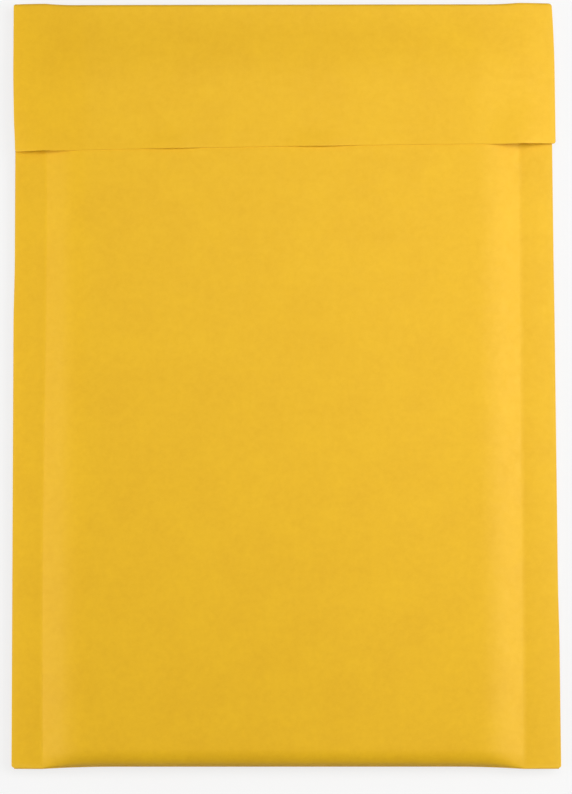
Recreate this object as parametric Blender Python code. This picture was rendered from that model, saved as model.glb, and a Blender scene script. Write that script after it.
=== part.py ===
"""Padded envelope of golden kraft paper, lying on its back with its flap stuck down.

One sheet is folded up at the bottom, sealed down both sides and folded over at the top, where
its back runs on as the flap. The lining pads it between the seams. Metres, +Z up: +X runs
across the width, +Y along the length towards the flap's fold, and +Z out of the flap's side.
"""

import math

import bmesh
import bpy
from mathutils import Matrix, Vector

# Outline of the closed envelope, drawn in a little by its padding
BODY_WIDTH = 0.1972  # between the cut edges of the side seams
BODY_LENGTH = 0.2787  # from the bottom corners to the flap's fold
BOTTOM_DRAW_IN = 0.0011  # how far the padded bottom stays behind its corners
DRAW_IN_REACH = 0.022  # how far inside the seams it takes to reach that
BOTTOM_SLANT = 0.0005  # how much lower the bottom fold is at the right end

# Side seams, where the back and the front are stuck together
LEFT_SEAM_WIDTH = 0.0112
RIGHT_SEAM_WIDTH = 0.0125
SEAM_THICKNESS = 0.0008
SEAM_SAG = 0.0006  # how far the cut edges hang below the seam lines

# Padding
LOFT = 0.0084  # thickness of the padded middle
FRONT_CROWN = 0.0005  # what the front's middle stands above that
SHOULDER_WIDTH = 0.0160  # from a seam line to the full thickness
SHOULDER_STRAIGHT = 0.0063  # the evenly steep part of that slope, next to the seam
BOTTOM_ROUNDING = 0.0068  # from the bottom fold to the full thickness
MOUTH_TAPER = 0.0300  # from the flap's fold to the full thickness
MOUTH_THICKNESS = 0.0032  # thickness of the padding at the flap's fold

# Flap
FLAP_LENGTH = 0.0531  # from the fold to the free edge, halfway across
FLAP_CUT_SLANT = 0.0019  # how much longer its left end is than its right end
FLAP_FLARE = 0.0014  # how far its free edge reaches past the seam's cut edge, on the right
FLAP_CLEARANCE = 0.0003  # between the flap and the front that it lies on
FLAP_EDGE_LIFT = 0.0003  # what its ends stand above that, at the seams' cut edges
PAPER_THICKNESS = 0.0003
FOLD_DEPTH = 0.0013  # how far the rounded fold reaches past the padding
GUM_WIDTH = 0.0100
GUM_SETBACK = 0.0080  # from the free edge to the gum

# Faces along each stretch
SEAM_STEPS = 2
SHOULDER_STEPS = 8
MIDDLE_STEPS = 8
NOSE_STEPS = 7
BODY_STEPS = 8
COVERED_STEPS = 7
GUM_STEPS = 2
FREE_STEPS = 2
FOLD_STEPS = 8

LEFT_EDGE = -BODY_WIDTH / 2
RIGHT_EDGE = BODY_WIDTH / 2
LEFT_LINE = LEFT_EDGE + LEFT_SEAM_WIDTH
RIGHT_LINE = RIGHT_EDGE - RIGHT_SEAM_WIDTH
GUM_END = FLAP_LENGTH - GUM_SETBACK
GUM_START = GUM_END - GUM_WIDTH

KRAFT_COLOR = (0.83, 0.48, 0.035, 1.0)
KRAFT_ROUGHNESS = 0.72
CREASE_ANGLE = math.radians(35.0)  # edges sharper than this are shaded as creases

OUTER, INNER = 0, 1  # the skins of the folded sheet, which is the body and then the flap


def clear_scene():
    for old in list(bpy.data.objects):
        bpy.data.objects.remove(old)


def kraft_paper():
    material = bpy.data.materials.new("golden_kraft_paper")
    material.use_nodes = True
    shader = material.node_tree.nodes["Principled BSDF"]
    shader.inputs["Base Color"].default_value = KRAFT_COLOR
    shader.inputs["Roughness"].default_value = KRAFT_ROUGHNESS
    shader.inputs["Metallic"].default_value = 0.0
    return material


def spread(start, end, count):
    """Evenly spaced values after start, the last of them end."""
    return [start + (end - start) * k / count for k in range(1, count + 1)]


def rise(share):
    """Height share at a share of the way up a padded slope: steep at first, level at the top."""
    left = 1.0 - min(max(share, 0.0), 1.0)
    return 1.0 - left * left


def ease(share):
    """As rise, for a slope that is level at both ends."""
    part = min(max(share, 0.0), 1.0)
    return part * part * (3.0 - 2.0 * part)


def seam_width(x):
    return LEFT_SEAM_WIDTH if x < 0 else RIGHT_SEAM_WIDTH


def inside_seam(x):
    """Distance of x inside the nearer seam line, negative out on the seam."""
    return min(x - LEFT_LINE, RIGHT_LINE - x)


def middle_height(x):
    """Height of the surface halfway through the envelope, which sags along the cut edges."""
    out = max(-inside_seam(x), 0.0) / seam_width(x)
    return LOFT / 2 - SEAM_SAG * out * out


def end_share(along):
    """Share of the full padding at this distance from the bottom fold."""
    nose = math.sqrt(1.0 - (1.0 - min(along / BOTTOM_ROUNDING, 1.0)) ** 2)
    return nose * mouth_share(BODY_LENGTH - along)


def mouth_share(from_fold):
    """Share of the full padding at this distance from the flap's fold."""
    least = MOUTH_THICKNESS / LOFT
    return least + (1.0 - least) * ease(from_fold / MOUTH_TAPER)


def shoulder_share(inside):
    """Share of the full padding at a distance inside the seam: straight at first, then rounded."""
    rounded = SHOULDER_WIDTH - SHOULDER_STRAIGHT
    straight = min(max(inside, 0.0), SHOULDER_STRAIGHT)
    reach = straight + rounded / 2 * rise((inside - SHOULDER_STRAIGHT) / rounded)
    return reach / (SHOULDER_WIDTH - rounded / 2)


def side_share(x):
    """Share of the full padding across the body."""
    return shoulder_share(inside_seam(x))


def bridge_share(x):
    """As side_share, for a flap stretched straight from a cut edge to where it meets the shoulder."""
    rounded = SHOULDER_WIDTH - SHOULDER_STRAIGHT
    slope = 1.0 / (SHOULDER_WIDTH - rounded / 2)
    lift = FLAP_EDGE_LIFT / pad_height()
    straight = seam_width(x) + SHOULDER_STRAIGHT
    square = straight * straight + 2.0 * rounded * (seam_width(x) + lift / slope)
    turned = (math.sqrt(square) - straight) / rounded
    inside = inside_seam(x)
    if inside > SHOULDER_STRAIGHT + rounded * turned:
        return side_share(x)
    return lift + slope * (1.0 - turned) * (inside + seam_width(x))


def pad_height():
    """What the padding adds to the seam's thickness, on one side."""
    return (LOFT - SEAM_THICKNESS) / 2


def crown_height(x):
    half_pocket = (RIGHT_LINE - LEFT_LINE) / 2
    return FRONT_CROWN * rise(inside_seam(x) / half_pocket)


def back_height(x, along):
    return middle_height(x) - SEAM_THICKNESS / 2 - pad_height() * side_share(x) * end_share(along)


def front_height(x, along):
    pad = pad_height() * side_share(x) + crown_height(x)
    return middle_height(x) + SEAM_THICKNESS / 2 + pad * end_share(along)


def flap_underside(x, from_fold):
    pad = pad_height() * bridge_share(x) + crown_height(x)
    front = middle_height(x) + SEAM_THICKNESS / 2 + pad * mouth_share(from_fold)
    return front + FLAP_CLEARANCE


def bottom_line(x):
    return BOTTOM_DRAW_IN * rise(inside_seam(x) / DRAW_IN_REACH) - BOTTOM_SLANT * x / BODY_WIDTH


def body_point(skin, x, along):
    height = back_height(x, along) if skin == OUTER else front_height(x, along)
    bottom = bottom_line(x)
    return Vector((x, bottom + (BODY_LENGTH - bottom) * along / BODY_LENGTH, height))


def flap_point(skin, x, from_fold):
    """A point of the flap, from its place on the unfolded sheet."""
    length = FLAP_LENGTH - FLAP_CUT_SLANT * x / BODY_WIDTH
    share = (from_fold - FOLD_DEPTH) / (FLAP_LENGTH - FOLD_DEPTH)
    place = x + FLAP_FLARE * share * (x - LEFT_EDGE) / BODY_WIDTH
    down = FOLD_DEPTH + (length - FOLD_DEPTH) * share
    height = flap_underside(place, down)
    if skin == OUTER:
        height += PAPER_THICKNESS
    return Vector((place, BODY_LENGTH - down, height))


def fold_point(skin, x, angle):
    """A point of the half turn from the body to the flap, angle from 0 to pi."""
    low = body_point(skin, x, BODY_LENGTH - FOLD_DEPTH)
    high = flap_point(skin, x, FOLD_DEPTH)
    half = (high.z - low.z) / 2
    depth = FOLD_DEPTH if skin == OUTER else half
    reach = low.y + depth * math.sin(angle)
    return Vector((x, reach, low.z + half * (1.0 - math.cos(angle))))


def stations_across():
    left_crest = LEFT_LINE + SHOULDER_WIDTH
    right_crest = RIGHT_LINE - SHOULDER_WIDTH
    places = [LEFT_EDGE]
    places += spread(LEFT_EDGE, LEFT_LINE, SEAM_STEPS)
    places += spread(LEFT_LINE, left_crest, SHOULDER_STEPS)
    places += spread(left_crest, right_crest, MIDDLE_STEPS)
    places += spread(right_crest, RIGHT_LINE, SHOULDER_STEPS)
    places += spread(RIGHT_LINE, RIGHT_EDGE, SEAM_STEPS)
    return places


def flap_stations():
    """Distances from the fold at which the flap, and the body below it, have an edge."""
    places = [FOLD_DEPTH]
    places += spread(FOLD_DEPTH, GUM_START, COVERED_STEPS)
    places += spread(GUM_START, GUM_END, GUM_STEPS)
    places += spread(GUM_END, FLAP_LENGTH, FREE_STEPS)
    return places


def stations_along():
    """The sheet's stations from the bottom fold, up the body, round the fold and down the flap."""
    turns = [math.pi / 2 * k / NOSE_STEPS for k in range(NOSE_STEPS + 1)]
    body = [BOTTOM_ROUNDING * (1.0 - math.cos(turn)) for turn in turns]
    covered = [BODY_LENGTH - place for place in reversed(flap_stations())]
    body += spread(BOTTOM_ROUNDING, covered[0], BODY_STEPS) + covered[1:]
    fold = [math.pi * k / FOLD_STEPS for k in range(1, FOLD_STEPS)]
    path = [(body_point, place) for place in body]
    path += [(fold_point, angle) for angle in fold]
    path += [(flap_point, place) for place in flap_stations()]
    return path


def unfolded_sheet(bm, across, along):
    """A flat slab with one unit for each step across and along, and its inner skin one up."""
    place = Matrix.Translation(Vector((across / 2, along / 2, 0.0)))
    size = Matrix.Diagonal(Vector((across, along, 1.0, 1.0)))
    bmesh.ops.create_grid(
        bm, x_segments=across, y_segments=along, size=0.5, matrix=place @ size
    )
    made = bmesh.ops.extrude_face_region(bm, geom=bm.faces[:], use_keep_orig=True)
    inner = [item for item in made["geom"] if isinstance(item, bmesh.types.BMVert)]
    bmesh.ops.translate(bm, verts=inner, vec=Vector((0.0, 0.0, INNER - OUTER)))


def gum_rows(path):
    """The stretches of the sheet that the gum lies on: one on the front and one on the flap."""
    rows = []
    for row in range(len(path) - 1):
        make, low = path[row]
        next_make, high = path[row + 1]
        from_fold = (low + high) / 2
        if make == body_point:
            from_fold = BODY_LENGTH - from_fold
        on_one_side = make == next_make and make != fold_point
        if on_one_side and GUM_START < from_fold < GUM_END:
            rows.append(row)
    return rows


def cut_gum_patches(bm, path):
    """Opens the inner skin where the gum lies, on the front and on the flap."""
    rows = gum_rows(path)
    first = SEAM_STEPS + SHOULDER_STEPS
    patch = []
    for face in bm.faces:
        centre = face.calc_center_median()
        across = first < centre.x < first + MIDDLE_STEPS
        if across and int(centre.y) in rows and centre.z == INNER:
            patch.append(face)
    bmesh.ops.delete(bm, geom=patch, context="FACES")


def fold_sheet(bm, across, path):
    """Moves each corner of the flat slab to its place on the folded envelope."""
    for vert in bm.verts:
        x = across[round(vert.co.x)]
        make, place = path[round(vert.co.y)]
        vert.co = make(round(vert.co.z), x, place)


def stick_flap(bm):
    """Joins the flap to the front round the gum."""
    rims = [edge for edge in bm.edges if edge.is_boundary]
    bmesh.ops.bridge_loops(bm, edges=rims)


def centre_on_origin(bm):
    """Puts the origin under the middle of the outline, on the surface that it rests on."""
    places = [vert.co for vert in bm.verts]
    low = Vector([min(place[k] for place in places) for k in range(3)])
    high = Vector([max(place[k] for place in places) for k in range(3)])
    shift = Vector(((low.x + high.x) / 2, (low.y + high.y) / 2, low.z))
    bmesh.ops.translate(bm, verts=bm.verts[:], vec=-shift)


def make_envelope():
    across = stations_across()
    path = stations_along()
    bm = bmesh.new()
    unfolded_sheet(bm, len(across) - 1, len(path) - 1)
    cut_gum_patches(bm, path)
    fold_sheet(bm, across, path)
    stick_flap(bm)
    bmesh.ops.recalc_face_normals(bm, faces=bm.faces[:])
    centre_on_origin(bm)
    mesh = bpy.data.meshes.new("envelope")
    bm.to_mesh(mesh)
    bm.free()
    mesh.materials.append(kraft_paper())
    mesh.shade_smooth()
    mesh.set_sharp_from_angle(angle=CREASE_ANGLE)
    envelope = bpy.data.objects.new("envelope", mesh)
    bpy.context.scene.collection.objects.link(envelope)
    return envelope


clear_scene()
make_envelope()
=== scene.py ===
"""Looks of the padded envelope: golden kraft paper, lying on its back on a white table.

One sheet of paper makes the back, the front and the flap. The pocket is padded between two side
seams, rounded at the bottom and tapered at the mouth. The flap is folded over the mouth and stuck
down. Lengths are metres: +X across the width, +Y along the length towards the flap's fold, and +Z
out of the flap's side. The sheet's own places start at its bottom fold, halfway across.
"""

from __future__ import annotations

import logging
import math
from collections.abc import Callable
from dataclasses import dataclass, field
from enum import Enum, IntEnum

import bmesh
import bpy
from mathutils import Matrix, Vector, noise

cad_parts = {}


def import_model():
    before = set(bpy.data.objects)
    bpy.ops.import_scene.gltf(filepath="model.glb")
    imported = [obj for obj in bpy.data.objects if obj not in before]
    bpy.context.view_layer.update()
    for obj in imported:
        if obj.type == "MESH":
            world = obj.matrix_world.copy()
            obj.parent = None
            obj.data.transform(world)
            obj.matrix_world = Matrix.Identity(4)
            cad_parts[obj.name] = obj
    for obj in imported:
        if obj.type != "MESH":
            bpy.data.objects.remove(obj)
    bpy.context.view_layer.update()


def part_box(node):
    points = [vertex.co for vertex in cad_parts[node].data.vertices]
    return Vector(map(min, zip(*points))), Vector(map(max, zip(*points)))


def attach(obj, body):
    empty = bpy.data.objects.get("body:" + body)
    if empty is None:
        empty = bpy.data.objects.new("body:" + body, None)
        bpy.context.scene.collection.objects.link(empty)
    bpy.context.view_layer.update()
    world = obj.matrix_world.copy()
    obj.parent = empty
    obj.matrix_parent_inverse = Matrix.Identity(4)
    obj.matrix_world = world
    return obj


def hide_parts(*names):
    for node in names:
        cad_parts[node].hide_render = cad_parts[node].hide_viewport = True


LOG = logging.getLogger("padded_envelope")
CAD_NODE = "envelope"

SWAY_START = 0.45  # share of the length at which a seam line's sway crosses its mean place
FRONT_MAP_OFFSET = 0.7  # keeps the front's part of the map clear of the back's
SHARP_ANGLE = math.radians(40.0)  # edges more bent than this are shaded sharp

Colour = tuple[float, float, float, float]
Place = tuple[float, float, float]


class Skin(IntEnum):
    """The two sides of the folded sheet, by their height on the flat slab that it starts as."""

    BACK = 0  # the back, which runs on as the top of the flap
    FRONT = 1  # the front, and the underside of the flap


class Stretch(Enum):
    """The stretches of the sheet along its length."""

    BODY = "body"
    FOLD = "fold"
    FLAP = "flap"


class Finish(IntEnum):
    """The piece's material slots."""

    PAPER = 0
    CUT_EDGE = 1


def rise(share: float) -> float:
    """Height share on a slope that is steep at first and level at the top."""
    left = 1.0 - min(max(share, 0.0), 1.0)
    return 1.0 - left * left


def ease(share: float) -> float:
    """Height share on a slope that is level at both ends."""
    part = min(max(share, 0.0), 1.0)
    return part * part * (3.0 - 2.0 * part)


def hump(distance: float, reach: float) -> float:
    """A smooth hump, 1 at its middle and 0 from the reach outwards."""
    return 1.0 - ease(abs(distance) / reach)


def corner_cut(distance: float, radius: float) -> float:
    """How far a rounded corner draws an edge in, at a distance from the corner's other edge."""
    left = radius - min(max(distance, 0.0), radius)
    return radius - math.sqrt(radius * radius - left * left)


def spread(start: float, end: float, count: int) -> list[float]:
    """Evenly spaced values after start, the last of them end."""
    return [start + (end - start) * k / count for k in range(1, count + 1)]


@dataclass(frozen=True)
class SideSeam:
    """One side seam, where the back and the front are stuck together.

    Its line is where the padding starts. It leans and sways a little along the length.
    """

    width: float
    lean: float = 0.0  # how much wider the seam is at the bottom than at the top
    sway: float = 0.0  # how far the line swings to either side of straight
    waist: float = 0.0  # how far the cut edge is drawn in below the flap
    splay: float = 0.0  # how far the cut edge stands out near the bottom
    bottom_corner: float = 0.0008  # radius of the corner at the bottom fold
    top_corner: float = 0.0008  # radius of the corner at the flap's fold

    def line_offset(self, share: float) -> float:
        """How far inwards the seam line lies of its mean place, at a share of the length."""
        return self.lean * (0.5 - share) + self.sway * math.sin(math.tau * (share - SWAY_START))


@dataclass(frozen=True)
class Pocket:
    """The padded body: side seams, shoulders, rounded bottom and tapered mouth."""

    width: float = 0.1970
    length: float = 0.2787
    trim: float = 0.0001  # how far inside the solid's side edges its own lie
    left: SideSeam = SideSeam(0.0112, sway=0.0005, waist=0.0004, bottom_corner=0.0010)
    right: SideSeam = SideSeam(0.0125, lean=0.0010, waist=0.0001, splay=0.0003, top_corner=0.0014)
    seam_thickness: float = 0.0008
    seam_sag: float = 0.0006  # how far the cut edges hang below the seam lines
    loft: float = 0.0084  # thickness of the padded middle
    crown: float = 0.0005  # what the front's middle stands above that
    shoulder: float = 0.0160  # from a seam line to the full thickness
    shoulder_straight: float = 0.0063  # the evenly steep part of that, next to the seam
    bottom_rounding: float = 0.0063  # from the bottom fold to the full thickness
    bottom_draw_in: float = 0.0008  # how far the padded bottom stays behind its corners
    draw_in_reach: float = 0.026  # how far inside the seams it takes to reach that
    bottom_slant: float = 0.0008  # how much lower the bottom fold is at the right end
    fold_draw_in: float = 0.0005  # as bottom_draw_in, at the flap's fold
    fold_draw_reach: float = 0.012  # as draw_in_reach, at the flap's fold
    fold_slant: float = 0.00045  # how much lower the flap's fold is at the right end
    mouth_taper: float = 0.0300  # from the flap's fold to the full thickness
    mouth_thickness: float = 0.0032  # of the loft, what the flap's fold leaves of the padding
    waist_ends: tuple[float, float] = (0.172, 0.250)  # from the bottom fold, each halfway
    waist_slope: float = 0.026  # length over which the waist starts, and ends
    splay_end: float = 0.055  # from the bottom fold, halfway down the splay
    unevenness: float = 0.00014  # height of the broad, soft waves of the front
    wave_length: float = 0.034
    ply_groove: float = 0.00012  # depth of the groove between the two papers of a cut edge

    @property
    def left_edge(self) -> float:
        """Place of the left cut edge."""
        return -self.width / 2

    @property
    def right_edge(self) -> float:
        """Place of the right cut edge."""
        return self.width / 2

    @property
    def left_line(self) -> float:
        """Mean place of the left seam line."""
        return self.left_edge + self.left.width

    @property
    def right_line(self) -> float:
        """Mean place of the right seam line."""
        return self.right_edge - self.right.width

    def seam(self, x: float) -> SideSeam:
        """The seam on this side."""
        return self.left if x < 0 else self.right

    def inside_seam(self, x: float) -> float:
        """Distance inside the nearer seam line, negative out on the seam."""
        return min(x - self.left_line, self.right_line - x)

    def out_share(self, x: float) -> float:
        """Share of the way from the seam line out to the cut edge."""
        return max(-self.inside_seam(x), 0.0) / self.seam(x).width

    def middle_height(self, x: float) -> float:
        """Height of the surface halfway through, which sags along the cut edges."""
        out = self.out_share(x)
        return self.loft / 2 - self.seam_sag * out * out

    def pad_height(self) -> float:
        """What the padding adds to the seam's thickness, on one side."""
        return (self.loft - self.seam_thickness) / 2

    def shoulder_share(self, inside: float) -> float:
        """Share of the full padding inside the seam: straight at first, then rounded.

        Args:
            inside: Distance inside the seam line.

        Returns:
            The share, 0 at the seam line and 1 from the shoulder inwards.
        """
        rounded = self.shoulder - self.shoulder_straight
        straight = min(max(inside, 0.0), self.shoulder_straight)
        reach = straight + rounded / 2 * rise((inside - self.shoulder_straight) / rounded)
        return reach / (self.shoulder - rounded / 2)

    def side_share(self, x: float) -> float:
        """Share of the full padding across the body."""
        return self.shoulder_share(self.inside_seam(x))

    def mouth_share(self, from_fold: float) -> float:
        """Share of the full padding at a distance from the flap's fold."""
        least = self.mouth_thickness / self.loft
        return least + (1.0 - least) * ease(from_fold / self.mouth_taper)

    def end_share(self, along: float) -> float:
        """Share of the full padding at a distance from the bottom fold."""
        left = 1.0 - min(along / self.bottom_rounding, 1.0)
        return math.sqrt(1.0 - left * left) * self.mouth_share(self.length - along)

    def crown_height(self, x: float) -> float:
        """How far the front stands above the plain padding."""
        return self.crown * rise(self.inside_seam(x) / ((self.right_line - self.left_line) / 2))

    def waves(self, x: float, along: float) -> float:
        """Height of the broad waves that the hand has left in the padded front."""
        place = Vector((x, along, 0.0)) / self.wave_length
        return self.unevenness * noise.noise(place)

    def back_height(self, x: float, along: float) -> float:
        """Height of the back."""
        pad = self.pad_height() * self.side_share(x) * self.end_share(along)
        return self.middle_height(x) - self.seam_thickness / 2 - pad

    def front_height(self, x: float, along: float) -> float:
        """Height of the front.

        Args:
            x: The place across.
            along: The distance from the bottom fold.

        Returns:
            The height above what the envelope lies on.
        """
        pad = self.pad_height() * self.side_share(x) + self.crown_height(x)
        pad += self.waves(x, along) * self.side_share(x)
        return self.middle_height(x) + self.seam_thickness / 2 + pad * self.end_share(along)

    def bottom_line(self, x: float) -> float:
        """Place along the length of the bottom fold, drawn in by the padding."""
        drawn_in = self.bottom_draw_in * rise(self.inside_seam(x) / self.draw_in_reach)
        return drawn_in - self.bottom_slant * x / self.width

    def fold_line(self, x: float) -> float:
        """Place along the length of the flap's fold, drawn in by the padding."""
        drawn_in = self.fold_draw_in * rise(self.inside_seam(x) / self.fold_draw_reach)
        return self.length - drawn_in - self.fold_slant * x / self.width

    def waist_share(self, along: float) -> float:
        """Share of the waist's depth.

        Args:
            along: The distance from the bottom fold.

        Returns:
            The share, 1 between the waist's ends.
        """
        low, high = self.waist_ends
        into = ease(0.5 + (along - low) / self.waist_slope)
        return into * ease(0.5 - (along - high) / self.waist_slope)

    def across(self, x: float, along: float) -> float:
        """Place across of a point of the body, with the seam's lean, sway, waist and corner.

        Args:
            x: Its place across in the plain outline.
            along: Its distance from the bottom fold.

        Returns:
            Its true place across.
        """
        seam = self.seam(x)
        out = self.out_share(x)
        side = -1.0 if x < 0 else 1.0
        at_line = hump(self.inside_seam(x), self.shoulder if out == 0.0 else seam.width)
        inwards = seam.line_offset(along / self.length) * at_line
        inwards += seam.waist * self.waist_share(along) * out
        inwards -= seam.splay * ease(0.5 - (along - self.splay_end) / self.waist_slope) * out
        inwards += corner_cut(along, seam.bottom_corner) * out
        return x - side * inwards

    def point(self, skin: Skin, x: float, along: float) -> Vector:
        """A point of the front or the back.

        Args:
            skin: The side of the sheet.
            x: Its place across in the plain outline.
            along: Its distance from the bottom fold.

        Returns:
            Its place on the lying envelope.
        """
        if skin == Skin.BACK:
            height = self.back_height(x, along)
        else:
            height = self.front_height(x, along)
        bottom = self.bottom_line(x)
        down_length = bottom + (self.fold_line(x) - bottom) * along / self.length
        return Vector((self.across(x, along), down_length, height))


@dataclass(frozen=True)
class EdgeLift:
    """A short stretch of the flap's free edge that stands off the front."""

    middle: float  # its place across
    reach: float  # to either side of that
    height: float
    start: float  # how far from the fold the flap starts to rise

    def height_at(self, x: float) -> float:
        """How far the edge itself stands off at a place across."""
        return self.height * hump(x - self.middle, self.reach)


@dataclass(frozen=True)
class Flap:
    """The end of the sheet, folded over the mouth and stuck down by its gum."""

    pocket: Pocket
    length: float = 0.05370  # from the fold to the free edge, the mean of its two sides
    cut_slant: float = 0.0027  # how much longer its left side is than its right
    cut_bow: float = 0.0003  # how far its free edge curves back at the middle
    lift_reach: float = 0.20  # how far its free edge reaches on, as a share of its lift
    flare: float = 0.0011  # how far its right side stands out to the right
    flare_start: float = 0.35  # share of the flare that it has at the fold
    flare_reach: float = 0.50  # share of the flap by which it has all of it
    left_bulge: float = 0.0004  # how far its left side stands out next to the fold
    bulge_end: float = 0.9  # share of the flap by which that has gone
    bulge_fade: float = 0.5  # share of the flap over which it goes
    left_tuck: float = 0.0004  # how far its left side is drawn in at the free edge
    tuck_start: float = 0.75  # share of the flap at which that starts
    clearance: float = 0.00006  # to the front that it lies on
    fold_lift: float = 0.0003  # how far its side edges stand off the seams at the fold
    left_lift: float = 0.0009  # the same at its left corner
    right_lift: float = 0.0008  # the same at its right corner
    paper: float = 0.00022  # thickness of the paper
    fold_depth: float = 0.0013  # how much of the length the rounded fold takes up
    gum_width: float = 0.0100
    gum_setback: float = 0.0080  # from the free edge to the gum
    free_corner: float = 0.0009  # radius of the corners at the free edge
    lifts: tuple[EdgeLift, ...] = (
        EdgeLift(-0.0880, 0.0125, 0.0005, 0.0340),
        EdgeLift(-0.0400, 0.0155, 0.0007, 0.0457),
        EdgeLift(0.0135, 0.0160, 0.0009, 0.0457),
        EdgeLift(0.0865, 0.0145, 0.0015, 0.0340),
    )

    @property
    def gum_end(self) -> float:
        """Distance of the gum's far side from the fold."""
        return self.length - self.gum_setback

    @property
    def gum_start(self) -> float:
        """Distance of the gum's near side from the fold."""
        return self.gum_end - self.gum_width

    def free_lift(self, x: float) -> float:
        """How far the free edge itself stands off at this place across."""
        return sum(lift.height_at(x) for lift in self.lifts)

    def cut_length(self, x: float) -> float:
        """Length from the fold line to the free edge, which is a little slanted and curved.

        Args:
            x: The place across.

        Returns:
            The length, with what the lifts of the edge add to it.
        """
        across = x / self.pocket.width
        bow = self.cut_bow * (1.0 - 4.0 * across * across)
        reach = self.lift_reach * self.free_lift(x)
        return self.length - self.cut_slant * across - bow + reach

    def edge_lift(self, x: float, from_fold: float) -> float:
        """How far the nearer side edge stands off the seam at a distance from the fold."""
        most = self.left_lift if x < 0 else self.right_lift
        return self.fold_lift + (most - self.fold_lift) * ease(from_fold / self.gum_end)

    def bridge_share(self, x: float, from_fold: float) -> float:
        """As the pocket's side_share, for a flap that stretches straight from edge to shoulder.

        Args:
            x: The place across.
            from_fold: The distance from the fold.

        Returns:
            The share of the full padding at which the flap's underside lies there.
        """
        # The straight stretch ends as a tangent to the shoulder's round. The share turned says how
        # far the round has levelled out there.
        pocket = self.pocket
        rounded = pocket.shoulder - pocket.shoulder_straight
        slope = 1.0 / (pocket.shoulder - rounded / 2)
        lift = self.edge_lift(x, from_fold) / pocket.pad_height()
        seam_width = pocket.seam(x).width
        straight = seam_width + pocket.shoulder_straight
        square = straight * straight + 2.0 * rounded * (seam_width + lift / slope)
        turned = (math.sqrt(square) - straight) / rounded
        inside = pocket.inside_seam(x)
        if inside > pocket.shoulder_straight + rounded * turned:
            return pocket.side_share(x)
        return lift + slope * (1.0 - turned) * (inside + seam_width)

    def loose_height(self, x: float, from_fold: float) -> float:
        """How far the lifts of the free edge raise the flap.

        Args:
            x: The place across.
            from_fold: The distance from the fold.

        Returns:
            The height that they add.
        """
        height = 0.0
        for lift in self.lifts:
            height += lift.height_at(x) * ease((from_fold - lift.start) / (self.length - lift.start))
        return height

    def underside(self, x: float, from_fold: float) -> float:
        """Height of the flap's underside.

        Args:
            x: The place across.
            from_fold: The distance from the fold.

        Returns:
            The height above what the envelope lies on.
        """
        pocket = self.pocket
        pad = pocket.pad_height() * self.bridge_share(x, from_fold) + pocket.crown_height(x)
        pad += pocket.waves(x, pocket.length - from_fold) * pocket.side_share(x)
        front = pocket.middle_height(x) + pocket.seam_thickness / 2
        front += pad * pocket.mouth_share(from_fold)
        return front + self.clearance + self.loose_height(x, from_fold)

    def flare_at(self, x: float, share: float) -> float:
        """How far a point of the flap lies to the right of its place in the plain outline.

        Args:
            x: Its place across in the plain outline.
            share: Its share of the way from the fold to the free edge.

        Returns:
            The distance, most at the flap's right side.
        """
        to_right = (x - self.pocket.left_edge) / self.pocket.width
        grown = rise(share / self.flare_reach)
        return self.flare * to_right * (self.flare_start + (1.0 - self.flare_start) * grown)

    def across(self, x: float, share: float, down: float) -> float:
        """Place across of a point of the flap, which flares to the right and has round corners.

        Args:
            x: Its place across in the plain outline.
            share: Its share of the way from the fold to the free edge.
            down: Its distance from the fold line.

        Returns:
            Its true place across.
        """
        pocket = self.pocket
        out = pocket.out_share(x)
        place = x + self.flare_at(x, share)
        if x < 0:
            bulge = self.left_bulge * ease((self.bulge_end - share) / self.bulge_fade)
            tuck = self.left_tuck * ease((share - self.tuck_start) / (1.0 - self.tuck_start))
            place += (tuck - bulge) * out
        corner = corner_cut(down, pocket.seam(x).top_corner)
        corner += corner_cut((1.0 - share) * self.length, self.free_corner)
        return place - math.copysign(corner * out, x)

    def point(self, skin: Skin, x: float, from_fold: float) -> Vector:
        """A point of the flap.

        Args:
            skin: The side of the sheet.
            x: Its place across in the plain outline.
            from_fold: Its distance from the fold in the plain outline.

        Returns:
            Its place on the lying envelope.
        """
        length = self.cut_length(x)
        share = (from_fold - self.fold_depth) / (self.length - self.fold_depth)
        down = self.fold_depth + (length - self.fold_depth) * share
        height = self.underside(x + self.flare_at(x, share), down)
        if skin == Skin.BACK:
            height += self.paper
        return Vector((self.across(x, share, down), self.pocket.fold_line(x) - down, height))


@dataclass(frozen=True)
class Wear:
    """How handling has rubbed the paper, most at the flap's fold."""

    fold_reach: float = 0.0044
    reach: float = 0.0022  # at the bottom fold and the cut edges
    bottom_share: float = 0.7
    cut_share: float = 0.6

    def at(self, from_fold: float, from_bottom: float, from_cut: float) -> float:
        """How rubbed the paper is, 1 at most, from its distances to the folds and a cut edge."""
        worn = hump(from_fold, self.fold_reach) + self.bottom_share * hump(from_bottom, self.reach)
        return min(worn + self.cut_share * hump(from_cut, self.reach), 1.0)


@dataclass(frozen=True)
class Steps:
    """How many faces the sheet has along each stretch."""

    seam: int = 10
    shoulder: int = 24
    middle: int = 60
    nose: int = 18  # round the padded bottom
    body: int = 96  # from there to the flap's free edge
    covered: int = 30  # from the gum to the flap's fold
    gum: int = 4
    free: int = 10  # from the gum to the flap's round corners, and as many along those
    fold: int = 16
    wall: int = 4  # between the back and the front, round the sheet's edge


@dataclass(frozen=True)
class Row:
    """One row of the sheet: the stretch that it is on and its place there."""

    stretch: Stretch
    place: float  # its distance from the stretch's fold, or its angle round the flap's
    unrolled: float  # its distance from the bottom fold along the flat sheet


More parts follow.
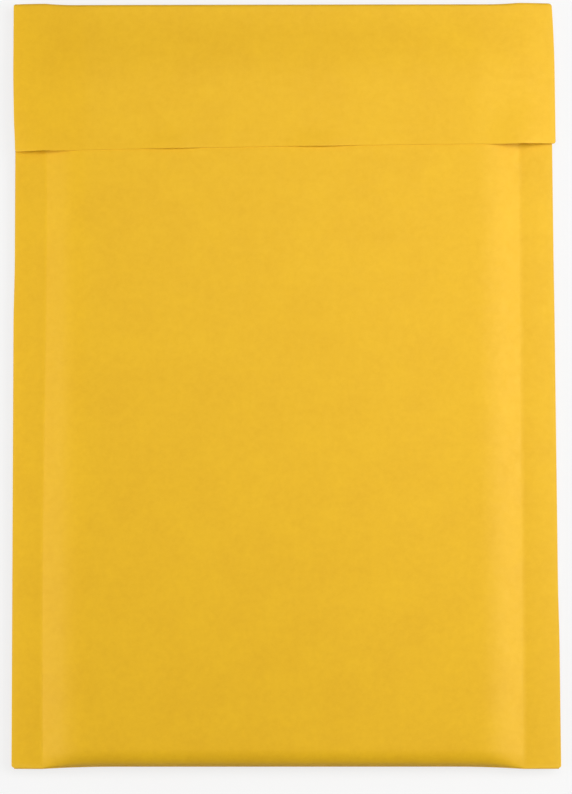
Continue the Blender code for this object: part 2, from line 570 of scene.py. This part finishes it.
@dataclass
class FoldedSheet:
    """The whole envelope, made from one flat slab that is folded into place."""

    pocket: Pocket
    flap: Flap
    steps: Steps = field(default_factory=Steps)
    wear: Wear = field(default_factory=Wear)
    shift: Vector = field(default_factory=Vector)

    def columns(self) -> list[float]:
        """Works out the sheet's columns.

        Returns:
            Their places across, from the left cut edge to the right one.
        """
        pocket, steps = self.pocket, self.steps
        left_crest = pocket.left_line + pocket.shoulder
        right_crest = pocket.right_line - pocket.shoulder
        places = [pocket.left_edge]
        places += spread(pocket.left_edge, pocket.left_line, steps.seam)
        places += spread(pocket.left_line, left_crest, steps.shoulder)
        places += spread(left_crest, right_crest, steps.middle)
        places += spread(right_crest, pocket.right_line, steps.shoulder)
        places += spread(pocket.right_line, pocket.right_edge, steps.seam)
        return places

    def flap_stations(self) -> list[float]:
        """Works out the flap's rows, which are closer together at its free edge.

        Returns:
            Their distances from the fold.
        """
        flap, steps = self.flap, self.steps
        near_edge = flap.length - flap.free_corner
        places = [flap.fold_depth]
        places += spread(flap.fold_depth, flap.gum_start, steps.covered)
        places += spread(flap.gum_start, flap.gum_end, steps.gum)
        places += spread(flap.gum_end, near_edge, steps.free)
        places += spread(near_edge, flap.length, steps.free)
        return places

    def rows(self) -> list[Row]:
        """Works out the sheet's rows.

        Returns:
            The rows from the bottom fold, up the body, round the fold and down the flap.
        """
        pocket, steps = self.pocket, self.steps
        turns = [math.pi / 2 * k / steps.nose for k in range(steps.nose + 1)]
        body = [pocket.bottom_rounding * (1.0 - math.cos(turn)) for turn in turns]
        stations = self.flap_stations()
        covered = [pocket.length - place for place in reversed(stations)]
        body += spread(pocket.bottom_rounding, covered[0], steps.body) + covered[1:]
        angles = [math.pi * k / steps.fold for k in range(1, steps.fold)]
        turn_length = math.pi * self.flap.fold_depth
        rows = [Row(Stretch.BODY, place, place) for place in body]
        for angle in angles:
            unrolled = body[-1] + turn_length * angle / math.pi
            rows.append(Row(Stretch.FOLD, angle, unrolled))
        start = body[-1] + turn_length - stations[0]
        rows += [Row(Stretch.FLAP, place, start + place) for place in stations]
        return rows

    def fold_point(self, skin: Skin, x: float, angle: float) -> Vector:
        """A point of the half turn from the body to the flap.

        Args:
            skin: The side of the sheet.
            x: Its place across in the plain outline.
            angle: Its place round the turn, 0 at the body and pi at the flap.

        Returns:
            Its place on the lying envelope.
        """
        depth = self.flap.fold_depth
        low = self.pocket.point(skin, x, self.pocket.length - depth)
        high = self.flap.point(skin, x, depth)
        half = (high.z - low.z) / 2
        if skin == Skin.FRONT:
            depth = half
        reach = low.y + depth * math.sin(angle)
        turned = (1.0 - math.cos(angle)) / 2
        across = low.x + (high.x - low.x) * turned
        seam = self.pocket.seam(x)
        corner = corner_cut(self.pocket.fold_line(x) - reach, seam.top_corner)
        corner -= corner_cut(self.flap.fold_depth, seam.top_corner) * turned
        across -= math.copysign(corner * self.pocket.out_share(x), x)
        return Vector((across, reach, low.z + half * (1.0 - math.cos(angle))))

    def skin_point(self, skin: Skin, x: float, row: Row) -> Vector:
        """A point of one side of the sheet.

        Args:
            skin: The side.
            x: Its place across in the plain outline.
            row: Its row of the sheet.

        Returns:
            Its place on the lying envelope.
        """
        makers: dict[Stretch, Callable[[Skin, float, float], Vector]] = {
            Stretch.BODY: self.pocket.point,
            Stretch.FOLD: self.fold_point,
            Stretch.FLAP: self.flap.point,
        }
        return makers[row.stretch](skin, x, row.place)

    def wall_point(self, level: float, x: float, row: Row) -> Vector:
        """A point of the sheet's edge, between its two sides.

        The bottom fold is round, and the cut edge of a seam has a groove between its papers.

        Args:
            level: Its share of the way from the back to the front.
            x: Its place across in the plain outline.
            row: Its row of the sheet.

        Returns:
            Its place on the lying envelope.
        """
        back = self.skin_point(Skin.BACK, x, row)
        front = self.skin_point(Skin.FRONT, x, row)
        point = back.lerp(front, level)
        roundness = math.sqrt(1.0 - (2.0 * level - 1.0) ** 2)
        if row.stretch == Stretch.BODY and row.place == 0.0:
            point.y -= self.pocket.seam_thickness / 2 * roundness
        elif row.stretch == Stretch.BODY:
            groove = self.pocket.ply_groove * hump(level - 0.5, 0.5)
            point.x -= math.copysign(groove, x)
        return point

    def slab(self, bm: bmesh.types.BMesh, across: int, along: int) -> None:
        """Makes the flat slab, one unit for each face, with the wall round its edge cut in steps.

        Args:
            bm: The empty mesh to make it in.
            across: Faces across.
            along: Faces along.
        """
        place = Matrix.Translation(Vector((across / 2, along / 2, 0.0)))
        size = Matrix.Diagonal(Vector((across, along, 1.0, 1.0)))
        bmesh.ops.create_grid(
            bm, x_segments=across, y_segments=along, size=0.5, matrix=place @ size
        )
        made = bmesh.ops.extrude_face_region(bm, geom=bm.faces[:], use_keep_orig=True)
        front = [item for item in made["geom"] if isinstance(item, bmesh.types.BMVert)]
        bmesh.ops.translate(bm, verts=front, vec=Vector((0.0, 0.0, Skin.FRONT - Skin.BACK)))
        uprights = [edge for edge in bm.edges if edge.verts[0].co.z != edge.verts[1].co.z]
        bmesh.ops.subdivide_edges(
            bm, edges=uprights, cuts=self.steps.wall - 1, use_grid_fill=True
        )

    def is_gummed(self, low: Row, high: Row) -> bool:
        """Tells where the gum is.

        Args:
            low: A row of the sheet.
            high: The next row.

        Returns:
            True if the gum lies on the strip between them.
        """
        if low.stretch != high.stretch or low.stretch == Stretch.FOLD:
            return False
        from_fold = (low.place + high.place) / 2
        if low.stretch == Stretch.BODY:
            from_fold = self.pocket.length - from_fold
        return self.flap.gum_start < from_fold < self.flap.gum_end

    def open_gum(self, bm: bmesh.types.BMesh, rows: list[Row]) -> None:
        """Opens the front and the flap's underside where the gum lies.

        Args:
            bm: The flat slab.
            rows: Its rows.
        """
        first = self.steps.seam + self.steps.shoulder
        last = first + self.steps.middle
        patch = []
        for face in bm.faces:
            centre = face.calc_center_median()
            if centre.z == Skin.FRONT and first < centre.x < last:
                row = int(centre.y)
                if self.is_gummed(rows[row], rows[row + 1]):
                    patch.append(face)
        bmesh.ops.delete(bm, geom=patch, context="FACES")

    def fold_up(self, bm: bmesh.types.BMesh, columns: list[float], rows: list[Row]) -> None:
        """Moves each corner of the slab to its place, and keeps its place on the flat sheet.

        Args:
            bm: The slab.
            columns: Places across of its columns.
            rows: Its rows.
        """
        flat = bm.verts.layers.float_vector.new("flat")
        rub = bm.verts.layers.float.new("rub")
        for vert in bm.verts:
            x = columns[round(vert.co.x)]
            row = rows[round(vert.co.y)]
            level = vert.co.z
            vert[flat] = Vector((x, row.unrolled, level))
            vert[rub] = self.rub(x, row)
            if level in (Skin.BACK, Skin.FRONT):
                vert.co = self.skin_point(Skin(int(level)), x, row)
            else:
                vert.co = self.wall_point(level, x, row)

    def rub(self, x: float, row: Row) -> float:
        """How much handling has rubbed the paper at a place of the flat sheet."""
        from_cut = min(x - self.pocket.left_edge, self.pocket.right_edge - x)
        return self.wear.at(abs(row.unrolled - self.pocket.length), row.unrolled, from_cut)

    def lay_flat_map(self, bm: bmesh.types.BMesh) -> None:
        """Gives the faces a map of the flat sheet in metres, and the cut edges their finish.

        Args:
            bm: The folded envelope.
        """
        flat = bm.verts.layers.float_vector["flat"]
        sheet = bm.loops.layers.uv.new("sheet")
        for face in bm.faces:
            levels = [loop.vert[flat].z for loop in face.loops]
            on_front = min(levels) == Skin.FRONT
            ends = [loop.vert[flat].y for loop in face.loops]
            on_wall = min(levels) != max(levels)
            face.material_index = Finish.CUT_EDGE if on_wall and max(ends) > 0.0 else Finish.PAPER
            for loop in face.loops:
                place = loop.vert[flat]
                depth = self.pocket.seam_thickness * place.z if on_wall else 0.0
                along = place.y + (FRONT_MAP_OFFSET if on_front else 0.0)
                loop[sheet].uv = (place.x + depth, along + depth)

    def build(self) -> bpy.types.Object:
        """Makes the envelope.

        Returns:
            The finished object, at the origin, with its place in its mesh.
        """
        columns = self.columns()
        rows = self.rows()
        bm = bmesh.new()
        self.slab(bm, len(columns) - 1, len(rows) - 1)
        self.open_gum(bm, rows)
        self.fold_up(bm, columns, rows)
        rims = [edge for edge in bm.edges if edge.is_boundary]
        bmesh.ops.bridge_loops(bm, edges=rims)
        bmesh.ops.recalc_face_normals(bm, faces=bm.faces[:])
        bmesh.ops.translate(bm, verts=bm.verts[:], vec=self.shift)
        self.lay_flat_map(bm)
        mesh = bpy.data.meshes.new("kraft_envelope")
        bm.to_mesh(mesh)
        bm.free()
        mesh.shade_smooth()
        mesh.set_sharp_from_angle(angle=SHARP_ANGLE)
        return add_object("kraft_envelope", mesh)

    def dress(self, envelope: bpy.types.Object, paper: KraftPaper, edge: CutEdge) -> None:
        """Gives the envelope its finishes, hangs it under the root body and hides the imported
        solid.

        Args:
            envelope: The object from build.
            paper: Its main finish.
            edge: The finish of its cut edges.
        """
        envelope.data.materials.append(paper.material())
        envelope.data.materials.append(edge.material())
        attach(envelope, "root")
        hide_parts(CAD_NODE)


class NodeBench:
    """A node tree with short calls for adding and joining nodes."""

    def __init__(self, tree: bpy.types.NodeTree) -> None:
        """Takes the tree to work on."""
        self.tree = tree

    def add(self, kind: str, **settings: object) -> bpy.types.Node:
        """Adds a node.

        Args:
            kind: Its type name.
            settings: Values for its properties.

        Returns:
            The new node.
        """
        node = self.tree.nodes.new(kind)
        for name, value in settings.items():
            setattr(node, name, value)
        return node

    def feed(self, value: object, target: bpy.types.NodeSocket) -> None:
        """Sets an input.

        Args:
            value: A plain value, or an output to join the input to.
            target: The input.
        """
        if isinstance(value, bpy.types.NodeSocket):
            self.tree.links.new(value, target)
        else:
            target.default_value = value

    def math(self, operation: str, *values: object) -> bpy.types.NodeSocket:
        """Adds a Math node.

        Args:
            operation: What it works out.
            values: Its inputs, each a number or an output.

        Returns:
            Its result.
        """
        node = self.add("ShaderNodeMath", operation=operation)
        for value, target in zip(values, node.inputs):
            self.feed(value, target)
        return node.outputs[0]

    def noise(
        self, vector: bpy.types.NodeSocket, scale: object, detail: float, roughness: float
    ) -> bpy.types.NodeSocket:
        """Adds a Noise Texture.

        Args:
            vector: Where the pattern is read.
            scale: Its scale, a number or an output.
            detail: Its layers of finer noise.
            roughness: How strong those are.

        Returns:
            Its value, about 0.5 on average.
        """
        node = self.add("ShaderNodeTexNoise")
        self.feed(vector, node.inputs["Vector"])
        self.feed(scale, node.inputs["Scale"])
        node.inputs["Detail"].default_value = detail
        node.inputs["Roughness"].default_value = roughness
        return node.outputs["Fac"]

    def stretch(
        self, value: object, low: object, high: object, to_low: object, to_high: object
    ) -> bpy.types.NodeSocket:
        """Maps a range of values to another.

        Args:
            value: What is mapped.
            low: The start of its range.
            high: The end of its range.
            to_low: What the start is mapped to.
            to_high: What the end is mapped to.

        Returns:
            The result, which stays between to_low and to_high.
        """
        node = self.add("ShaderNodeMapRange", clamp=True)
        names = ("Value", "From Min", "From Max", "To Min", "To Max")
        for name, item in zip(names, (value, low, high, to_low, to_high)):
            self.feed(item, node.inputs[name])
        return node.outputs["Result"]

    def mix(self, factor: object, first: object, second: object) -> bpy.types.NodeSocket:
        """Mixes two colours.

        Args:
            factor: The second one's share.
            first: A colour or an output.
            second: A colour or an output.

        Returns:
            The mixed colour.
        """
        # The node has a set of sockets for each data type, and the colours' come third.
        node = self.add("ShaderNodeMix", data_type="RGBA")
        self.feed(factor, node.inputs[0])
        self.feed(first, node.inputs[6])
        self.feed(second, node.inputs[7])
        return node.outputs[2]

    def bump(
        self, height: bpy.types.NodeSocket, distance: float, target: bpy.types.NodeSocket
    ) -> None:
        """Adds a Bump node.

        Args:
            height: The height that it reads.
            distance: How far a height of 1 stands up.
            target: The shader's Normal input.
        """
        node = self.add("ShaderNodeBump")
        node.inputs["Distance"].default_value = distance
        self.feed(height, node.inputs["Height"])
        self.feed(node.outputs["Normal"], target)


def new_material(name: str) -> tuple[bpy.types.Material, NodeBench, bpy.types.Node]:
    """Makes a material.

    Args:
        name: Its name.

    Returns:
        The material, a bench for its nodes, and its shader.
    """
    material = bpy.data.materials.new(name)
    material.use_nodes = True
    tree = material.node_tree
    return material, NodeBench(tree), tree.nodes["Principled BSDF"]


def add_object(name: str, data: bpy.types.ID) -> bpy.types.Object:
    """Makes an object in the scene.

    Args:
        name: Its name.
        data: Its mesh, lamp or camera.

    Returns:
        The object.
    """
    made = bpy.data.objects.new(name, data)
    bpy.context.scene.collection.objects.link(made)
    return made


@dataclass(frozen=True)
class PaperFibres:
    """Shader group of the fibres, cloudy formation and tooth of a paper sheet."""

    name: str = "paper_fibres"
    pale_ways: tuple[float, ...] = (12.0, 71.0, 128.0)  # degrees that the pale fibres lie at
    dark_way: float = 155.0  # the same for the dark ones
    apart: float = 0.3  # with its degrees, moves each way to its own part of the noise
    slenderness: float = 7.0  # a fibre's length over its width
    bend_scale: float = 160.0
    bend: float = 0.0016  # how far the fibres are bent
    formation_band: tuple[float, float] = (0.3, 0.7)  # noise values where a mask is 0 and 1
    fibre_band: tuple[float, float] = (0.62, 0.74)  # the same for the fibres
    fibre_tooth: float = 0.35  # how far a pale fibre stands up, against the flocks

    def group(self) -> bpy.types.ShaderNodeTree:
        """Makes the group, or finds it if it is there.

        Returns:
            The group, with the sheet's places as Vector and its masks and height as outputs.
        """
        found = bpy.data.node_groups.get(self.name)
        if found:
            return found
        tree = bpy.data.node_groups.new(self.name, "ShaderNodeTree")
        face = tree.interface
        face.new_socket("Vector", in_out="INPUT", socket_type="NodeSocketVector")
        for socket, usual in (("Flock Scale", 420.0), ("Cloud Scale", 45.0), ("Fibre Scale", 900.0)):
            made = face.new_socket(socket, in_out="INPUT", socket_type="NodeSocketFloat")
            made.default_value = usual
        for socket in ("Flocks", "Clouds", "Pale Fibres", "Dark Fibres", "Tooth"):
            face.new_socket(socket, in_out="OUTPUT", socket_type="NodeSocketFloat")
        bench = NodeBench(tree)
        inputs = bench.add("NodeGroupInput").outputs
        outputs = bench.add("NodeGroupOutput").inputs
        vector = inputs["Vector"]
        flocks = bench.noise(vector, inputs["Flock Scale"], detail=3.0, roughness=0.62)
        clouds = bench.noise(vector, inputs["Cloud Scale"], detail=3.0, roughness=0.8)
        none, full = self.formation_band
        bench.feed(bench.stretch(flocks, none, full, 0.0, 1.0), outputs["Flocks"])
        bench.feed(bench.stretch(clouds, none, full, 0.0, 1.0), outputs["Clouds"])
        strands = [self.strands(bench, inputs, degrees) for degrees in self.pale_ways]
        pale = bench.math("MAXIMUM", bench.math("MAXIMUM", strands[0], strands[1]), strands[2])
        dark = self.strands(bench, inputs, self.dark_way)
        bench.feed(pale, outputs["Pale Fibres"])
        bench.feed(dark, outputs["Dark Fibres"])
        tooth = bench.math("MULTIPLY_ADD", pale, self.fibre_tooth, flocks)
        bench.feed(tooth, outputs["Tooth"])
        return tree

    def strands(
        self, bench: NodeBench, inputs: bpy.types.NodeOutputs, degrees: float
    ) -> bpy.types.NodeSocket:
        """Fibres that lie about one way, bent a little by a broad noise.

        Args:
            bench: Where the nodes go.
            inputs: The group's inputs.
            degrees: The angle that they lie at.

        Returns:
            A mask, 1 on the fibres.
        """
        bend = bench.add("ShaderNodeTexNoise")
        bench.feed(inputs["Vector"], bend.inputs["Vector"])
        bend.inputs["Scale"].default_value = self.bend_scale
        shift = bench.add("ShaderNodeVectorMath", operation="MULTIPLY_ADD")
        bench.feed(bend.outputs["Color"], shift.inputs[0])
        shift.inputs[1].default_value = (self.bend, self.bend, 0.0)
        bench.feed(inputs["Vector"], shift.inputs[2])
        turn = bench.add("ShaderNodeMapping")
        bench.feed(shift.outputs[0], turn.inputs["Vector"])
        turn.inputs["Location"].default_value = (degrees, self.apart * degrees, 0.0)
        turn.inputs["Rotation"].default_value = (0.0, 0.0, math.radians(degrees))
        turn.inputs["Scale"].default_value = (1.0, self.slenderness, 1.0)
        scale = inputs["Fibre Scale"]
        value = bench.noise(turn.outputs["Vector"], scale, detail=1.0, roughness=0.5)
        none, full = self.fibre_band
        return bench.stretch(value, none, full, 0.0, 1.0)

    def place(self, bench: NodeBench, vector: bpy.types.NodeSocket) -> bpy.types.Node:
        """Puts the group in a material.

        Args:
            bench: Where the nodes go.
            vector: The sheet's places, for the group to read.

        Returns:
            The group's node.
        """
        node = bench.add("ShaderNodeGroup", node_tree=self.group())
        bench.feed(vector, node.inputs["Vector"])
        return node


@dataclass(frozen=True)
class KraftPaper:
    """Golden kraft paper: dyed pulp with soft cloudy mottling, matte with a slight sheen."""

    name: str = "golden_kraft_paper"
    light: Colour = (0.864, 0.501, 0.0020, 1.0)
    deep: Colour = (0.792, 0.435, 0.0000, 1.0)
    pale_fibre: Colour = (0.880, 0.520, 0.012, 1.0)
    dark_fibre: Colour = (0.740, 0.400, 0.003, 1.0)
    rubbed: Colour = (0.860, 0.520, 0.030, 1.0)
    flock_share: float = 0.45  # how much of the way to the deep colour the flocks go
    cloud_share: float = 0.6  # the same for the clouds
    pale_share: float = 0.35  # how far the pale fibres cover the paper
    dark_share: float = 0.30  # the same for the dark ones
    rub_range: tuple[float, float] = (0.15, 0.75)  # how far full wear does, by the flocks
    roughness: tuple[float, float] = (0.52, 0.64)
    specular: float = 0.43
    bump_height: float = 0.000035

    def material(self) -> bpy.types.Material:
        """Makes the material, read from the sheet's own map.

        Returns:
            The material.
        """
        material, bench, shader = new_material(self.name)
        sheet = bench.add("ShaderNodeUVMap", uv_map="sheet")
        fibres = PaperFibres().place(bench, sheet.outputs["UV"])
        flocks, clouds = fibres.outputs["Flocks"], fibres.outputs["Clouds"]
        cloudy = bench.math("MULTIPLY", clouds, self.cloud_share)
        depth = bench.math("MULTIPLY_ADD", flocks, self.flock_share, cloudy)
        colour = bench.mix(depth, self.light, self.deep)
        pale = bench.math("MULTIPLY", fibres.outputs["Pale Fibres"], self.pale_share)
        colour = bench.mix(pale, colour, self.pale_fibre)
        dark = bench.math("MULTIPLY", fibres.outputs["Dark Fibres"], self.dark_share)
        colour = bench.mix(dark, colour, self.dark_fibre)
        rub = bench.add("ShaderNodeAttribute", attribute_name="rub").outputs["Fac"]
        least, most = self.rub_range
        worn = bench.math("MULTIPLY", rub, bench.stretch(flocks, 0.0, 1.0, least, most))
        colour = bench.mix(worn, colour, self.rubbed)
        bench.feed(colour, shader.inputs["Base Color"])
        low, high = self.roughness
        bench.feed(bench.stretch(flocks, 0.0, 1.0, low, high), shader.inputs["Roughness"])
        bench.bump(fibres.outputs["Tooth"], self.bump_height, shader.inputs["Normal"])
        shader.inputs["Metallic"].default_value = 0.0
        shader.inputs["Specular IOR Level"].default_value = self.specular
        return material


@dataclass(frozen=True)
class CutEdge:
    """The raw edge of the paper, where the blade has opened its paler core."""

    name: str = "cut_paper_edge"
    core: Colour = (0.820, 0.520, 0.055, 1.0)
    shadow: Colour = (0.640, 0.345, 0.018, 1.0)
    roughness: float = 0.8
    bump_height: float = 0.00004

    def material(self) -> bpy.types.Material:
        """Makes the material, read from the object's own places.

        Returns:
            The material.
        """
        material, bench, shader = new_material(self.name)
        place = bench.add("ShaderNodeTexCoord").outputs["Object"]
        fibres = PaperFibres().place(bench, place)
        colour = bench.mix(fibres.outputs["Flocks"], self.core, self.shadow)
        bench.feed(colour, shader.inputs["Base Color"])
        bench.bump(fibres.outputs["Tooth"], self.bump_height, shader.inputs["Normal"])
        shader.inputs["Roughness"].default_value = self.roughness
        shader.inputs["Metallic"].default_value = 0.0
        return material


@dataclass(frozen=True)
class Table:
    """The white table top, which keeps the envelope's soft shadow."""

    name: str = "table_top"
    side: float = 8.0
    whiteness: float = 0.80
    seen: float = 0.20  # the whiteness that the camera sees, below the glow
    glow: float = 0.755  # what the camera sees on top of the lit surface
    roughness: float = 0.9

    def build(self) -> None:
        bm = bmesh.new()
        bmesh.ops.create_grid(bm, x_segments=1, y_segments=1, size=self.side / 2)
        mesh = bpy.data.meshes.new(self.name)
        bm.to_mesh(mesh)
        bm.free()
        mesh.materials.append(self.material())
        add_object(self.name, mesh)

    def material(self) -> bpy.types.Material:
        """Makes the table's finish: white, with a glow that only the camera sees.

        Returns:
            The material.
        """
        material, bench, shader = new_material("white_table")
        shader.inputs["Roughness"].default_value = self.roughness
        shader.inputs["Specular IOR Level"].default_value = 0.0
        shader.inputs["Emission Color"].default_value = (1.0, 1.0, 1.0, 1.0)
        seen = bench.add("ShaderNodeLightPath").outputs["Is Camera Ray"]
        white = bench.stretch(seen, 0.0, 1.0, self.whiteness, self.seen)
        bench.feed(white, shader.inputs["Base Color"])
        bench.feed(bench.math("MULTIPLY", seen, self.glow), shader.inputs["Emission Strength"])
        return material


@dataclass(frozen=True)
class Softbox:
    """A rectangular studio lamp, turned to the middle of the envelope."""

    name: str
    place: Place
    width: float
    height: float
    brightness: float  # 1 is the brightness of a white sheet in full light

    def build(self) -> None:
        """Makes the lamp, which the camera doesn't see."""
        light = bpy.data.lights.new(self.name, "AREA")
        light.shape = "RECTANGLE"
        light.size = self.width
        light.size_y = self.height
        light.energy = self.brightness * math.pi * self.width * self.height
        lamp = add_object(self.name, light)
        lamp.location = self.place
        lamp.rotation_mode = "QUATERNION"
        lamp.rotation_quaternion = (-Vector(self.place)).to_track_quat("-Z", "Y")
        lamp.visible_camera = False


@dataclass(frozen=True)
class Surroundings:
    """The pale room: soft light from all round, plain white to the camera and in reflections."""

    name: str = "pale_room"
    brightness: float = 0.10

    def build(self) -> None:
        """Makes the world."""
        world = bpy.data.worlds.new(self.name)
        bpy.context.scene.world = world
        world.use_nodes = True
        bench = NodeBench(world.node_tree)
        background = world.node_tree.nodes["Background"]
        path = bench.add("ShaderNodeLightPath")
        seen = bench.math("MAXIMUM", path.outputs["Is Camera Ray"], path.outputs["Is Glossy Ray"])
        strength = bench.stretch(seen, 0.0, 1.0, self.brightness, 1.0)
        background.inputs["Color"].default_value = (1.0, 1.0, 1.0, 1.0)
        bench.feed(strength, background.inputs["Strength"])


@dataclass(frozen=True)
class StudioCamera:
    """The camera above the envelope, leaning towards its bottom edge."""

    name: str = "studio_camera"
    distance: float = 1.0
    look_at: Place = (-0.0001, -0.0053, 0.0)
    pitch: float = math.radians(-4.96)
    roll: float = math.radians(0.24)
    lens: float = 124.37
    sensor: float = 36.0

    def build(self) -> None:
        """Makes the camera and sets it as the scene's."""
        data = bpy.data.cameras.new(self.name)
        data.sensor_fit = "AUTO"
        data.sensor_width = self.sensor
        data.lens = self.lens
        data.clip_start = 0.01
        data.clip_end = 30.0
        camera = add_object(self.name, data)
        tilt = Matrix.Rotation(self.pitch, 4, "X") @ Matrix.Rotation(self.roll, 4, "Z")
        back_off = Matrix.Translation(Vector((0.0, 0.0, self.distance)))
        camera.matrix_world = (
            Matrix.Translation(Vector(self.look_at)) @ tilt.transposed() @ back_off
        )
        bpy.context.scene.camera = camera


@dataclass(frozen=True)
class Studio:
    """The table, the lamps, the room and the camera."""

    table: Table = Table()
    surroundings: Surroundings = Surroundings()
    camera: StudioCamera = StudioCamera()
    softboxes: tuple[Softbox, ...] = (
        Softbox("low_left_softbox", (-0.60, -0.07, 0.10), 0.50, 0.20, 5.60),
        Softbox("left_softbox", (-0.60, -0.07, 0.35), 0.50, 0.30, 2.80),
        Softbox("low_right_softbox", (0.60, 0.08, 0.10), 0.50, 0.20, 1.30),
        Softbox("right_softbox", (0.60, -0.10, 0.35), 0.50, 0.30, 4.15),
        Softbox("high_right_softbox", (0.42, 0.13, 0.55), 0.50, 0.30, 4.50),
        Softbox("overhead_softbox", (0.0, 0.20, 0.53), 0.25, 0.25, 3.22),
    )

    def build(self) -> None:
        """Makes everything round the envelope."""
        for part in (self.table, self.surroundings, self.camera, *self.softboxes):
            part.build()
            LOG.info("made %s", part.name)


def main() -> None:
    """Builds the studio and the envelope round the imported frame."""
    logging.basicConfig(level=logging.INFO, format="%(name)s: %(message)s")
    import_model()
    bpy.context.scene.view_settings.view_transform = "Standard"
    Studio().build()
    pocket = Pocket()
    flap = Flap(pocket)
    low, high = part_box(CAD_NODE)
    shift = Vector((low[0] + pocket.trim - pocket.left_edge, high[1] - pocket.length, low[2]))
    sheet = FoldedSheet(pocket, flap, shift=shift)
    envelope = sheet.build()
    sheet.dress(envelope, KraftPaper(), CutEdge())
    LOG.info("made %s with %d faces", envelope.name, len(envelope.data.polygons))


if __name__ == "__main__":
    main()
